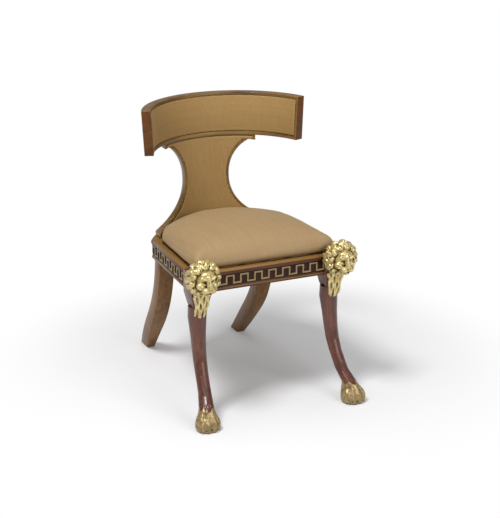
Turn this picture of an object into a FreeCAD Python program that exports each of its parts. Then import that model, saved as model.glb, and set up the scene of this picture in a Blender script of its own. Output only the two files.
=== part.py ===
# Klismos side chair: bowed tablet crest over an hourglass splat, drop-in seat, monopodia front legs
# with lion heads and paw feet, and sabre rear legs. Millimetres, +Z up, front towards -Y, origin on
# the floor under the middle of the chair.

import FreeCAD, Part
import math
import os
import re

import Sketcher
from FreeCAD import Placement, Rotation, Vector

doc = FreeCAD.newDocument("klismos_chair")

# Driving dimensions

sizes = {
    # Seat rails
    "rail_top": 447,            # top of the seat rails above the floor
    "rail_height": 62,
    "rail_thickness": 32,
    "rail_front": -246,         # sunk front face of the front rail
    "side_front_half": 242,     # half width over the side rails' sunk faces, at the front
    "joint_y": 112,             # where the side rails meet the bowed back rail
    "back_axis_y": -24,         # upright axis that the back rail, splat and crest are bowed round
    "seat_radius": 264,         # sunk outer face of the back rail
    "back_thickness": 46,
    "ledge": 14,                # rail top that shows beside the drop-in seat
    "back_ledge": 34,
    "rebate_depth": 16,
    # Mouldings and key fret
    "top_band": 14,
    "top_proud": 4.2,
    "top_bead": 4.5,
    "low_band": 12,
    "low_proud": 2.5,
    "low_bead": 8,
    "key_height": 28,
    "key_line": 5,
    "key_proud": 2.5,
    "key_step": 22.5,           # one upright of the key to the next
    # Front legs
    "block_inner": 185,
    "block_outer": 247,
    "block_front": -252,
    "block_rear": -190,
    "block_bottom": 342,
    "knee_radius": 28,
    "shank_radius": 19.5,
    "ankle_height": 92,
    "paw_front": -375,
    "paw_centre_x": 239,
    "paw_width": 74,
    "paw_height": 44,
    "toe_depth": 0.13,          # share of the paw's radius that the grooves between toes go in
    # Lion heads and chest manes
    "head_x": 221,
    "head_z": 440,
    "head_depth": 79,
    "head_half_width": 51,
    "head_half_height": 54,
    "mane_drop": 88,
    "mane_half_width": 27,
    "mane_proud": 14,
    "flat_lean": 0.28,          # lean of the flat that carries the chest mane
    # Rear legs
    "rear_setback": 12.1,       # front of the leg's top behind the side rails' ends
    "rear_inset": 26.3,         # outer side of the leg inside the back rail's corner
    "rear_width": 49,
    "rear_draw": 22,            # how far the outer side draws in towards the foot
    "rear_knee": 190,           # height where it starts to
    "rear_depth": 43,
    "sabre_radius": 420,
    "sabre_angle": 40,
    "tenon_width": 18,
    "tenon_height": 32,
    # Crest and splat
    "crest_top": 860,
    "crest_height": 136,
    "crest_radius": 285,        # outer face at the top edge
    "crest_half_angle": 71,
    "crest_thickness": 28,
    "crest_border": 9,
    "crest_border_bottom": 11,
    "panel_recess": 12,
    "board_thickness": 4,
    "splat_setback": 1,         # splat's outer face inside the back rail's
    "splat_thickness": 24,
    "splat_border": 10,
    "splat_end_border": 3,
    "splat_half_angle": 60,
    "waist_half": 75,
    "waist_straight": 8,
    "flare_angle": 56.2,        # turn of the splat's upper curve
    "base_block": 15,
    "shoulder_half": 153,
    "shoulder_height": 16,
    # Drop-in seat and upholstery
    "frame_height": 15,
    "frame_width": 52,
    "web_width": 50,
    "web_pitch": 75,
    "web_thickness": 1.5,
    "web_tuck": 8,
    "cushion_top": 526,
    "cushion_swell": 6,
    "cushion_corner": 16,
    "pad_swell": 5,
    "pad_proud": 2,             # how far the splat's pad stands in front of its frame
    # Joints and fixings
    "dowel_width": 9,
    "thin_dowel_width": 6,
    "dowel_depth": 22,
    "dowel_rise": 22,           # between the two dowels of a pair
    "brace_width": 36,
    "brace_margin": 6,
    "block_length": 46,
    "block_end": 8,
    "screw_width": 4.5,
    "screw_head": 9,
    "screw_head_depth": 3,
    "screw_length": 38,
    # Clearances
    "fit": 0.3,                 # between pieces that seat on each other along a curve
    "dowel_slack": 0.15,
    "seat_gap": 2,              # round the drop-in seat, and at the ends of the key fret
    "pad_gap": 1,
}

sheet = doc.addObject("Spreadsheet::Sheet", "dims")
for row, (name, number) in enumerate(sizes.items(), start=1):
    sheet.set("A%d" % row, name)
    sheet.set("B%d" % row, str(number))
    sheet.setAlias("B%d" % row, name)
doc.recompute()


def bound(text):
    """Expression text with every size looked up in the sheet."""
    return re.sub(r"[a-z]\w*", lambda word: ("dims." if word.group() in sizes else "") + word.group(), str(text))


def value(text):
    """Number that an expression gives now."""
    return float(sheet.evalExpression(bound(text)))


class Dimensions:
    """Sizes of the sheet by name, for the carved and soft shapes that are set in code."""

    def __getattr__(self, name):
        return float(sheet.get(name))


d = Dimensions()

# Expressions that several pieces share

rail_bottom = "(rail_top - rail_height)"
rebate_floor = "(rail_top - rebate_depth)"
rail_middle = "((%s + %s) / 2)" % (rebate_floor, rail_bottom)
side_back_half = "sqrt(seat_radius ^ 2 - (joint_y - back_axis_y) ^ 2)"
side_slope = "((%s - side_front_half) / (joint_y - rail_front))" % side_back_half
crest_bottom = "(crest_top - crest_height)"


def side_x(y, inward="0"):
    """Half width at a given depth, this far in from the side rails' sunk faces."""
    return "(side_front_half + %s * ((%s) - rail_front) - (%s))" % (side_slope, y, inward)


def bow_radius(height, inward="0"):
    """Radius of the bowed and slightly conical back at a height, this far in from its outer face."""
    cone = "(crest_radius - seat_radius + splat_setback) / (crest_top - rail_top)"
    return "(crest_radius - %s * (crest_top - (%s)) - (%s))" % (cone, height, inward)


def corner_depth(inward, radius):
    """Depth where a line parallel to the side rail meets an arc round the back's axis."""
    reach = "((%s) - %s * back_axis_y)" % (side_x("0", inward), "0")
    a = "(1 + %s ^ 2)" % side_slope
    b = "(%s * %s)" % (side_slope, side_x("back_axis_y", inward))
    c = "(%s ^ 2 - (%s) ^ 2)" % (side_x("back_axis_y", inward), radius)
    return "(back_axis_y + (-%s + sqrt(%s ^ 2 - %s * %s)) / %s)" % (b, b, a, c, a)


# Building blocks

def new_body(label, lift_y=None):
    body = doc.addObject("PartDesign::Body", label)
    body.Label = label
    if lift_y:
        body.setExpression("Placement.Base.y", bound(lift_y))
    return body


def arc_between(start, end, radius):
    """Arc under a half circle; a positive radius turns left on the way from start to end."""
    chord = end - start
    left = Vector(-chord.y, chord.x, 0).normalize()
    height = math.sqrt(radius ** 2 - (chord.Length / 2) ** 2)
    centre = start + chord / 2 + left * math.copysign(height, radius)
    angles = [math.atan2(point.y - centre.y, point.x - centre.x) for point in (start, end)]
    if radius < 0:
        angles.reverse()
    if angles[1] < angles[0]:
        angles[1] += 2 * math.pi
    return Part.ArcOfCircle(Part.Circle(centre, Vector(0, 0, 1), abs(radius)), *angles)


def outline(body, name, role, corners, lift="0"):
    """Closed sketch on an origin plane. A corner is (x, y), or (x, y, radius) where an arc leads to it;
    a minus before the radius turns the arc right. Every corner and radius is held by an expression."""
    sketch = body.newObject("Sketcher::SketchObject", name)
    plane = next(item for item in body.Origin.OriginFeatures if item.Role == role)
    sketch.AttachmentSupport = [(plane, "")]
    sketch.MapMode = "FlatFace"
    sketch.setExpression("AttachmentOffset.Base.z", bound(lift))
    places = [Vector(value(corner[0]), value(corner[1]), 0) for corner in corners]
    count = len(corners)
    ends = []
    for i in range(count):
        start, end, target = places[i], places[(i + 1) % count], corners[(i + 1) % count]
        if len(target) == 2:
            sketch.addGeometry(Part.LineSegment(start, end))
            ends.append((1, 2))
            continue
        turns_right = target[2].startswith("-")
        size = value(target[2].lstrip("-"))
        sketch.addGeometry(arc_between(start, end, -size if turns_right else size))
        ends.append((2, 1) if turns_right else (1, 2))
        hold(sketch, Sketcher.Constraint("Radius", i, size), "radius_%d" % i, target[2].lstrip("-"))
    for i in range(count):
        after = (i + 1) % count
        sketch.addConstraint(Sketcher.Constraint("Coincident", i, ends[i][1], after, ends[after][0]))
    for i, (corner, place) in enumerate(zip(corners, places)):
        for axis, text, size in (("X", corner[0], place.x), ("Y", corner[1], place.y)):
            constraint = Sketcher.Constraint("Distance" + axis, -1, 1, i, ends[i][0], size)
            hold(sketch, constraint, "corner_%d_%s" % (i, axis.lower()), text)
    return sketch


def hold(sketch, constraint, name, text):
    index = sketch.addConstraint(constraint)
    sketch.renameConstraint(index, name)
    sketch.setExpression("Constraints." + name, bound(text))


def pad(body, sketch, length, **settings):
    item = body.newObject("PartDesign::Pad", sketch.Name + "_pad")
    item.Profile = sketch
    for name, setting in settings.items():
        setattr(item, name, setting)
    item.setExpression("Length", bound(length))
    return item


def pocket_through(body, sketch):
    item = body.newObject("PartDesign::Pocket", sketch.Name + "_pocket")
    item.Profile = sketch
    item.Type = "ThroughAll"
    item.Midplane = True
    return item


def turn(body, sketch, angle, kind="Revolution"):
    """Revolution or Groove about the body's upright axis, as far to the left as to the right."""
    item = body.newObject("PartDesign::" + kind, sketch.Name + "_" + kind.lower())
    item.Profile = sketch
    item.ReferenceAxis = (sketch, ["V_Axis"])
    item.Midplane = True
    item.setExpression("Angle", bound("2 * (%s)" % angle))
    return item


def plate(label, corners, low, height):
    """Flat piece cut to a plan outline."""
    body = new_body(label)
    pad(body, outline(body, label + "_plan", "XY_Plane", corners, low), height)
    return body


def bowed(label, section, half_angle):
    """Piece bowed round the back's upright axis, from a section of (radius, height) corners."""
    body = new_body(label, "back_axis_y")
    turn(body, outline(body, label + "_section", "YZ_Plane", section), half_angle)
    return body


def mirrored(label, source):
    copy = doc.addObject("Part::Mirroring", label)
    copy.Label = label
    copy.Source = source
    copy.Normal = Vector(1, 0, 0)
    return copy


def both(source):
    return [source, mirrored(source.Label + "_mirrored", source)]


def group(label, items, kind="Part::Compound"):
    item = doc.addObject(kind, label)
    item.Label = label
    if kind == "Part::Compound":
        item.Links = items
    else:
        item.Shapes = items
    return item


def combine(label, kind, base, tools):
    """Part::Cut or Part::Common of a base with one tool or several."""
    item = doc.addObject(kind, label)
    item.Label = label
    item.Base = base
    item.Tool = tools[0] if len(tools) == 1 else group(label + "_tools", tools, "Part::MultiFuse")
    return item


flats = 12                      # sides of dowels, screws and their holes, which stand in for round


def peg(label, width, length, at, direction, behind):
    """Peg along a direction, from a distance behind the given point."""
    axis = Vector(direction).normalize()
    item = doc.addObject("Part::Prism", label)
    item.Label = label
    item.Polygon = flats
    item.setExpression("Circumradius", bound("(%s) / 2" % width))
    item.setExpression("Height", bound(length))
    item.Placement = Placement(Vector(), Rotation(Vector(0, 0, 1), axis))
    for coordinate, text, share in zip("xyz", at, axis):
        item.setExpression("Placement.Base." + coordinate, bound("(%s) - (%.9f) * (%s)" % (text, share, behind)))
    return item


def feature(label, shape):
    item = doc.addObject("Part::Feature", label)
    item.Label = label
    item.Shape = shape
    return item


def facet_solid(rings):
    """Closed solid through rings of as many points each, all in flat facets."""
    faces = [Part.Face(Part.makePolygon(ring + ring[:1])) for ring in (rings[0], rings[-1])]
    for near, far in zip(rings, rings[1:]):
        for i in range(len(near)):
            after = (i + 1) % len(near)
            a, b, c, e = near[i], near[after], far[after], far[i]
            is_flat = abs((b - a).cross(e - a).normalize().dot(c - a)) < 1e-7
            for corners in ([[a, b, c, e]] if is_flat else [[a, b, c], [a, c, e]]):
                faces.append(Part.Face(Part.makePolygon(corners + corners[:1])))
    solid = Part.Solid(Part.Shell(faces))
    return solid if solid.Volume > 0 else solid.reversed()


def bow_ring(section, angle):
    """Section of (radius, height) corners set at an angle round the back's axis."""
    return [Vector(radius * math.sin(angle), d.back_axis_y + radius * math.cos(angle), z) for radius, z in section]


def bow_facets(section, half_angle, count):
    """Bowed solid in flat facets, its section set at even angles."""
    angles = [math.radians(half_angle) * (2 * i / count - 1) for i in range(count + 1)]
    return facet_solid([bow_ring(section, angle) for angle in angles])


def faceted(label, section, half_angle, count=24):
    """Bowed piece like bowed, in flat facets."""
    corners = [(value(radius), value(z)) for radius, z in section]
    return feature(label, bow_facets(corners, value(half_angle), count))


parts = []                      # the sub-parts that are written


def keep(*items):
    parts.extend(items)


# Dowels: a row of them at given centres, with the holes that they sit in

def dowel_row(label, width, centres, direction):
    dowels = []
    holes = []
    for number, centre in enumerate(centres, start=1):
        name = "%s_%d" % (label, number)
        dowels.append(peg(name, width, "2 * dowel_depth - 2", centre, direction, "dowel_depth - 1"))
        holes.append(peg(name + "_hole", width + " + 2 * dowel_slack", "2 * dowel_depth", centre, direction,
                         "dowel_depth"))
    return group(label, dowels), group(label + "_holes", holes)


def rail_pair(x, y):
    return [(x, y, "%s - dowel_rise / 2" % rail_middle), (x, y, "%s + dowel_rise / 2" % rail_middle)]


slope = value(side_slope)
back_joint_x = value(side_x("joint_y", "0.75 * rail_thickness"))
back_lean = (slope - (d.joint_y - d.back_axis_y) / back_joint_x) / 2
front_dowels, front_holes = dowel_row(
    "front_rail_dowels_right", "dowel_width", rail_pair("block_inner", "rail_front + rail_thickness / 2"), (1, 0, 0))
side_dowels, side_holes = dowel_row(
    "side_rail_front_dowels_right", "dowel_width",
    rail_pair(side_x("block_rear", "rail_thickness / 2"), "block_rear"), (slope, 1, 0))
back_dowels, back_holes = dowel_row(
    "side_rail_back_dowels_right", "dowel_width",
    rail_pair(side_x("joint_y", "0.75 * rail_thickness"), "joint_y"), (back_lean, 1, 0))


def bow_row(label, angles, height):
    """Upright dowels through the thin back wall of the splat, at angles round the bow."""
    radius = bow_radius(height, "(splat_thickness - panel_recess) / 2")
    centres = [("%s * sin(%g)" % (radius, angle), "back_axis_y + %s * cos(%g)" % (radius, angle), height)
               for angle in angles]
    return dowel_row(label, "thin_dowel_width", centres, (0, 0, 1))


splat_dowels, splat_holes = bow_row("splat_dowels", (-38, -14, 14, 38), "rail_top")
crest_dowels, crest_holes = bow_row("crest_dowels", (-26, -9, 9, 26), crest_bottom)
keep(group("front_rail_dowels", both(front_dowels)), group("side_rail_front_dowels", both(side_dowels)),
     group("side_rail_back_dowels", both(back_dowels)), splat_dowels, crest_dowels)

# Rebate for the drop-in seat: straight front and sides, bowed back

def seat_plan(gap="0"):
    """Plan of the seat opening, drawn in by the gap."""
    front = "(rail_front + ledge + %s)" % gap
    inward = "(ledge + %s)" % gap
    radius = "(seat_radius - back_ledge - %s)" % gap
    end_y = corner_depth(inward, radius)
    front_x, end_x = side_x(front, inward), side_x(end_y, inward)
    return [("-" + front_x, front), (front_x, front), (end_x, end_y), ("-" + end_x, end_y, radius)]


rebate = plate("rebate", seat_plan(), rebate_floor, "rebate_depth + 1")

# Seat rails, each a plain section cut for the seat and the joints

def along_front(label, section):
    """Section of (outward, height) corners run between the leg blocks; its arcs turn the other way."""
    corners = [("rail_front - (%s)" % c[0], c[1], *("-" + radius for radius in c[2:])) for c in section]
    body = new_body(label)
    pad(body, outline(body, label + "_section", "YZ_Plane", corners), "2 * block_inner", Midplane=True)
    return body


def along_side(label, section):
    """Section of (outward, height) corners run from the leg block back to the back rail."""
    start = side_x("block_rear")
    corners = [("%s + (%s)" % (start, c[0]), *c[1:]) for c in section]
    body = new_body(label)
    sketch = outline(body, label + "_section", "XZ_Plane", corners, "-block_rear")
    run = pad(body, sketch, "(joint_y - block_rear) * sqrt(1 + %s ^ 2)" % side_slope,
              UseCustomVector=True, AlongSketchNormal=False, Direction=Vector(0, 1, 0))
    run.setExpression("Direction.x", bound(side_slope))
    return body


def round_back(label, section, gap="0"):
    """Section of (outward, height) corners bowed behind the seat and trimmed at the side rails."""
    corners = [("seat_radius + %s + (%s)" % (gap, c[0]), *c[1:]) for c in section]
    body = bowed(label, corners, "70")
    reach, front = "2 * seat_radius", "joint_y - back_axis_y"
    ends = [("-" + reach, "-" + reach), (reach, "-" + reach), (reach, front), ("-" + reach, front)]
    pocket_through(body, outline(body, label + "_ends", "XY_Plane", ends))
    return body


def rail_section(thickness):
    return [("0", rail_bottom), ("0", "rail_top"), ("-" + thickness, "rail_top"), ("-" + thickness, rail_bottom)]


front_rail = along_front("front_rail", rail_section("rail_thickness"))
side_rail = along_side("side_rail", rail_section("rail_thickness"))
back_rail = round_back("back_rail", rail_section("back_thickness"))

# Mouldings: a chamfered band at the top, a bead in three flats at the bottom

top_section = [
    ("0", "rail_top - top_band"), ("top_proud", "rail_top - top_band"), ("top_proud", "rail_top - top_bead"),
    ("0.4 * top_proud", "rail_top"), ("0", "rail_top")]
low_section = [
    ("0", rail_bottom), ("0.5 * low_proud", rail_bottom), ("low_proud", rail_bottom + " + 0.3 * low_bead"),
    ("low_proud", rail_bottom + " + 0.7 * low_bead"), ("0.4 * low_proud", rail_bottom + " + low_band"),
    ("0", rail_bottom + " + low_band")]
for name, section in (("top_moulding", top_section), ("bottom_bead", low_section)):
    right = along_side(name + "_right", section)
    keep(along_front(name + "_front", section), right, mirrored(name + "_left", right),
         round_back(name + "_back", section, "fit"))

# Key fret: a square wave in a strip between the mouldings

key_middle = "((rail_top - top_band + %s + low_band) / 2)" % rail_bottom
key_low = "(%s - key_height / 2)" % key_middle
key_high = "(%s + key_height / 2)" % key_middle


def key_fret(label, length):
    """Flat key fret along +X from the body's origin, standing out towards -Y, first run high."""
    runs = int(value("((%s) - key_line) / key_step" % length))
    pitch = "(((%s) - key_line) / %d)" % (length, runs)
    body = new_body(label)
    wave = [("0", key_low), ("0", key_high), ("%s + key_line" % pitch, key_high),
            ("%s + key_line" % pitch, key_low + " + key_line"), ("2 * " + pitch, key_low + " + key_line"),
            ("2 * " + pitch, key_low), (pitch, key_low), (pitch, key_high + " - key_line"),
            ("key_line", key_high + " - key_line"), ("key_line", key_low)]
    first = pad(body, outline(body, label + "_wave", "XZ_Plane", wave), "key_proud")
    pattern = body.newObject("PartDesign::LinearPattern", label + "_pattern")
    pattern.Originals = [first]
    pattern.Direction = (first.Profile[0], ["H_Axis"])
    pattern.Occurrences = runs // 2
    pattern.setExpression("Length", bound("2 * %s * %d" % (pitch, runs // 2 - 1)))
    body.Tip = pattern
    here = "%s * %d" % (pitch, runs // 2 * 2)
    if runs % 2:
        after = "%s * %d" % (pitch, runs)
        close = [(here, key_low), (here, key_high), (after + " + key_line", key_high),
                 (after + " + key_line", key_low), (after, key_low), (after, key_high + " - key_line"),
                 (here + " + key_line", key_high + " - key_line"), (here + " + key_line", key_low)]
    else:
        close = [(here, key_low), (here, key_high), (here + " + key_line", key_high), (here + " + key_line", key_low)]
    pad(body, outline(body, label + "_end", "XZ_Plane", close), "key_proud")
    return body


front_key_length = "(2 * block_inner - 2 * seat_gap)"
front_key = key_fret("key_fret_front", front_key_length)
front_key.setExpression("Placement.Base.x", bound("-%s / 2" % front_key_length))
front_key.setExpression("Placement.Base.y", bound("rail_front"))
side_key = key_fret("key_fret_right", "(joint_y - block_rear) * sqrt(1 + %s ^ 2) - 2 * seat_gap" % side_slope)
side_key.Placement = Placement(Vector(), Rotation(Vector(0, 0, 1), 90 - math.degrees(math.atan(slope))))
side_key.setExpression("Placement.Base.x", bound(side_x("block_rear + seat_gap")))
side_key.setExpression("Placement.Base.y", bound("block_rear + seat_gap"))
keep(front_key, side_key, mirrored("key_fret_left", side_key))


def bow_key(label):
    """Key fret bent round the back rail, straight from upright to upright."""
    radius = d.seat_radius + d.fit
    low, high = value(key_low), value(key_high)
    half_bow = math.asin(value(side_back_half) / d.seat_radius)
    length = 2 * half_bow * radius - 2 * d.seat_gap - d.key_line
    runs = int(length / d.key_step)
    pitch = length / runs / radius
    line = d.key_line / radius

    def block(start, end, bottom, top):
        return facet_solid([bow_ring([(radius, bottom), (radius + d.key_proud, bottom), (radius + d.key_proud, top),
                                      (radius, top)], angle) for angle in (start, end)])

    first = -(runs * pitch + line) / 2
    uprights = [first + i * pitch for i in range(runs + 1)]
    blocks = [block(angle, angle + line, low, high) for angle in uprights]
    for i, angle in enumerate(uprights[:-1]):
        bottom = low if i % 2 else high - d.key_line
        blocks.append(block(angle + line, angle + pitch, bottom, bottom + d.key_line))
    return feature(label, blocks[0].multiFuse(blocks[1:]).removeSplitter())


keep(bow_key("key_fret_back"))

# Rear legs: sabre profile from the side, drawn in towards the foot from the front, tenon on top

sabre_run = "(%s - sabre_radius * sin(sabre_angle)) * tan(sabre_angle)" % rail_bottom
sabre_drop = "sabre_radius * (1 - cos(sabre_angle))"
rear_top = "(joint_y + rear_setback)"
rear_reach = "(%s + %s + %s + rear_depth / cos(sabre_angle))" % (rear_top, sabre_drop, sabre_run)
rear_outer = "(%s - rear_inset)" % side_back_half
rear_foot = "(%s - rear_draw)" % rear_outer


def bend_y(radius):
    return "(%s + sabre_radius - (%s) * cos(sabre_angle))" % (rear_top, radius)


def bend_low(radius):
    return "(%s - (%s) * sin(sabre_angle))" % (rail_bottom, radius)


inside = "(sabre_radius - rear_depth)"
sabre = [
    (rear_top, rail_bottom), (bend_y("sabre_radius"), bend_low("sabre_radius"), "sabre_radius"),
    (rear_reach + " - rear_depth / cos(sabre_angle)", "0"), (rear_reach, "0"),
    (bend_y(inside), bend_low(inside)), ("%s + rear_depth" % rear_top, rail_bottom, "-" + inside)]
taper_cut = [
    (rear_outer, "rear_knee"), (rear_foot, "0", "-(rear_knee ^ 2 + rear_draw ^ 2) / (2 * rear_draw)"),
    (rear_foot, "-1"), (rear_outer + " + 1", "-1"), (rear_outer + " + 1", "rear_knee")]
tenon_radius = "(seat_radius - back_thickness / 2)"
leg_x = "(%s - rear_width / 2)" % rear_outer
leg_y = "(%s + rear_depth / 2 - back_axis_y)" % rear_top
leg_out = "sqrt(%s ^ 2 + %s ^ 2)" % (leg_x, leg_y)
tenon_x = "(%s * %s / %s)" % (leg_x, tenon_radius, leg_out)
tenon_y = "(back_axis_y + %s * %s / %s)" % (leg_y, tenon_radius, leg_out)


def square(x, y, half):
    return [("%s - %s" % (x, half), "%s - %s" % (y, half)), ("%s + %s" % (x, half), "%s - %s" % (y, half)),
            ("%s + %s" % (x, half), "%s + %s" % (y, half)), ("%s - %s" % (x, half), "%s + %s" % (y, half))]


rear_leg = new_body("rear_leg_right")
pad(rear_leg, outline(rear_leg, "sabre", "YZ_Plane", sabre, rear_outer + " - rear_width"), "rear_width")
pocket_through(rear_leg, outline(rear_leg, "taper", "XZ_Plane", taper_cut))
pad(rear_leg, outline(rear_leg, "tenon", "XY_Plane", square(tenon_x, tenon_y, "tenon_width / 2"), rail_bottom),
    "tenon_height")
mortise = plate("mortise", square(tenon_x, tenon_y, "(tenon_width / 2 + fit)"), rail_bottom + " - 1", "tenon_height + 2")
keep(rear_leg, mirrored("rear_leg_left", rear_leg))

# Crest: a bowed tablet with a recess for its pad, on a backing board

def bow_section(outer, inner, low, high):
    """Section of the conical back between two depths in from its outer face and two heights."""
    return [(bow_radius(low, outer), low), (bow_radius(low, inner), low),
            (bow_radius(high, inner), high), (bow_radius(high, outer), high)]


def arc_angle(length):
    return "(%s) / crest_radius * 180 / pi" % length


recess_low = "(%s + crest_border_bottom)" % crest_bottom
recess_high = "(crest_top - crest_border)"
recess_angle = "(crest_half_angle - %s)" % arc_angle("crest_border")
panel_angle = "(%s - %s)" % (recess_angle, arc_angle("pad_gap"))
panel_low = "(%s + pad_gap)" % recess_low
panel_high = "(%s - pad_gap)" % recess_high
crest_board = "(crest_thickness - panel_recess + fit)"
crest_pad_back = "(%s + board_thickness + fit)" % crest_board

crest = bowed("crest", bow_section("0", "crest_thickness", crest_bottom, "crest_top"), "crest_half_angle")
recess = bow_section("crest_thickness - panel_recess", "crest_thickness + 1", recess_low, recess_high)
turn(crest, outline(crest, "crest_recess", "YZ_Plane", recess), recess_angle, "Groove")


def pad_section(inward, low, high, swell, rises=4):
    """Section of an upholstered panel: back on its board, front domed by the swell."""
    low_z, high_z = value(low), value(high)
    corners = [(value(bow_radius(z, inward)), value(z)) for z in (high, low)]
    for i in range(rises + 1):
        share = i / rises
        z = low_z + (high_z - low_z) * share
        corners.append((value(bow_radius(repr(z), "crest_thickness")) - swell * math.sin(math.pi * share), z))
    return corners


crest_facets = 30
crest_panel = pad_section(crest_pad_back, panel_low, panel_high, d.pad_swell)
keep(combine("crest_rail", "Part::Cut", crest, [crest_holes]),
     feature("crest_pad", bow_facets(crest_panel, value(panel_angle), crest_facets)),
     faceted("crest_backing_board",
             bow_section(crest_board, crest_board + " + board_thickness", panel_low, panel_high), panel_angle,
             crest_facets))

# Splat: the same bow, cut to an hourglass with square shoulders

waist_radius = "((%s - rail_top - base_block - shoulder_height - waist_straight) / (1 + sin(flare_angle)))" % crest_bottom
waist_low = "(rail_top + base_block + %s)" % waist_radius
waist_high = "(%s + waist_straight)" % waist_low
shoulder_z = "(%s - shoulder_height)" % crest_bottom


def hourglass(label, inset="0", end="0"):
    """Hourglass outline run back through the bow, drawn in at its curved sides and at its ends."""
    radius = "(%s + %s)" % (waist_radius, inset)
    middle = "(waist_half + %s)" % waist_radius
    foot_x = "(%s - %s)" % (middle, inset)
    foot_z = "(%s - sqrt(%s ^ 2 - (%s) ^ 2))" % (waist_low, radius, inset)
    flare_x = "(%s - sqrt(%s ^ 2 - (%s - %s) ^ 2))" % (middle, radius, shoulder_z, waist_high)
    tip_x = "(shoulder_half - %s)" % inset
    waist_x = "(waist_half - %s)" % inset
    right = [(foot_x, "rail_top + " + end), (foot_x, foot_z), (waist_x, waist_low, "-" + radius),
             (waist_x, waist_high), (flare_x, shoulder_z, "-" + radius), (tip_x, shoulder_z),
             (tip_x, "%s - %s" % (crest_bottom, end))]
    left = [("-" + x, z) for x, z, *arc in reversed(right)]
    left[3] += ("-" + radius,)
    left[5] += ("-" + radius,)
    body = new_body(label, "back_axis_y")
    pad(body, outline(body, label + "_face", "XZ_Plane", right + left), "crest_radius", Reversed=True)
    return body


def splat_layer(label, outer, inner, cutter, bow=bowed):
    slab = bow(label + "_bow", bow_section(outer, inner, "rail_top", crest_bottom), "splat_half_angle")
    return combine(label, "Part::Common", slab, [cutter])


splat_recess = splat_layer("splat_recess", "splat_thickness - panel_recess", "splat_thickness + 1",
                           hourglass("splat_border_line", "splat_border", "splat_end_border"))
splat_blank = splat_layer("splat_blank", "0", "splat_thickness", hourglass("splat_line"))
panel_line = hourglass("splat_panel_line", "(splat_border + pad_gap)", "(splat_end_border + pad_gap)")
splat_board = "(splat_thickness - panel_recess + fit)"
splat_pad_back = "(%s + board_thickness + fit)" % splat_board
keep(combine("splat_frame", "Part::Cut", splat_blank, [splat_recess, splat_holes, crest_holes]),
     splat_layer("splat_backing_board", splat_board, splat_board + " + board_thickness", panel_line, faceted),
     splat_layer("splat_pad", splat_pad_back, "splat_thickness + pad_proud", panel_line, faceted))

# Drop-in seat frame: four members that meet in square joints, resting in the rebate

frame_front = "(rail_front + ledge + seat_gap)"
frame_inner = "(%s + frame_width)" % frame_front
frame_inset = "(ledge + seat_gap)"
frame_radius = "(seat_radius - back_ledge - seat_gap)"
frame_joint = corner_depth(frame_inset, frame_radius)
member_inset = "(%s + frame_width)" % frame_inset
frame_top = "(%s + frame_height)" % rebate_floor
ring_inner = "(%s - frame_width)" % frame_radius
ring_inner_x = "sqrt(%s ^ 2 - (%s - back_axis_y) ^ 2)" % (ring_inner, frame_joint)
frame_joint_x = side_x(frame_joint, frame_inset)

front_member = plate("front_member", [
    ("-" + side_x(frame_front, frame_inset), frame_front), (side_x(frame_front, frame_inset), frame_front),
    (side_x(frame_inner, frame_inset), frame_inner), ("-" + side_x(frame_inner, frame_inset), frame_inner)],
    rebate_floor, "frame_height")
side_member = plate("seat_frame_right", [
    (side_x(frame_inner, frame_inset), frame_inner), (frame_joint_x, frame_joint),
    (side_x(frame_joint, member_inset), frame_joint), (side_x(frame_inner, member_inset), frame_inner)],
    rebate_floor, "frame_height")
back_member = plate("seat_frame_back", [
    (frame_joint_x, frame_joint), ("-" + frame_joint_x, frame_joint, frame_radius),
    ("-" + ring_inner_x, frame_joint), (ring_inner_x, frame_joint, "-" + ring_inner)],
    rebate_floor, "frame_height")
keep(side_member, mirrored("seat_frame_left", side_member), back_member)

# Webbing: lengthwise straps under crosswise straps, tacked inside the frame's edge

def straps(label, count, lengthwise, low):
    area = plate(label + "_area", seat_plan("(seat_gap + web_tuck)"), low, "web_thickness")
    bars = []
    for i in range(count):
        across = "(%g * web_pitch - web_width / 2)" % (i - (count - 1) / 2)
        bar = doc.addObject("Part::Box", "%s_%d" % (label, i + 1))
        narrow, wide = ("Length", "Width") if lengthwise else ("Width", "Length")
        start, side = ("y", "x") if lengthwise else ("x", "y")
        middle = "0" if lengthwise else "(%s + web_pitch) / 2" % frame_front
        bar.setExpression(narrow, bound("web_width"))
        bar.setExpression(wide, bound("4 * seat_radius"))
        bar.setExpression("Height", bound("web_thickness"))
        bar.setExpression("Placement.Base." + side, bound("%s + %s" % (across, middle)))
        bar.setExpression("Placement.Base." + start, bound("-2 * seat_radius"))
        bar.setExpression("Placement.Base.z", bound(low))
        bars.append(bar)
    return combine(label, "Part::Common", group(label + "_bars", bars), [area])


keep(straps("webbing_lengthwise", 4, True, frame_top),
     straps("webbing_crosswise", 5, False, frame_top + " + web_thickness"))

# Seat cushion: drawn in under its swell, crowned over the top

def cushion_ring(outward, z):
    """Plan of the cushion at one height: round front corners, straight sides, bowed back."""
    front = value(frame_front) - outward
    inward = value(frame_inset) - outward
    radius = value(frame_radius) + outward
    joint = value(corner_depth(repr(inward), repr(radius)))
    lean = math.atan(slope)
    centre_y = front + d.cushion_corner
    centre_x = value(side_x(repr(centre_y), repr(inward))) - d.cushion_corner / math.cos(lean)
    half_bow = math.atan2(value(side_x(repr(joint), repr(inward))), joint - d.back_axis_y)
    corner = []
    for i in range(5):
        angle = -math.pi / 2 + (math.pi / 2 - lean) * i / 4
        corner.append(Vector(centre_x + d.cushion_corner * math.cos(angle),
                             centre_y + d.cushion_corner * math.sin(angle), z))
    back = []
    for i in range(19):
        angle = half_bow * (1 - i / 9)
        back.append(Vector(radius * math.sin(angle), d.back_axis_y + radius * math.cos(angle), z))
    return corner + back + [Vector(-point.x, point.y, z) for point in reversed(corner)]


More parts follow.
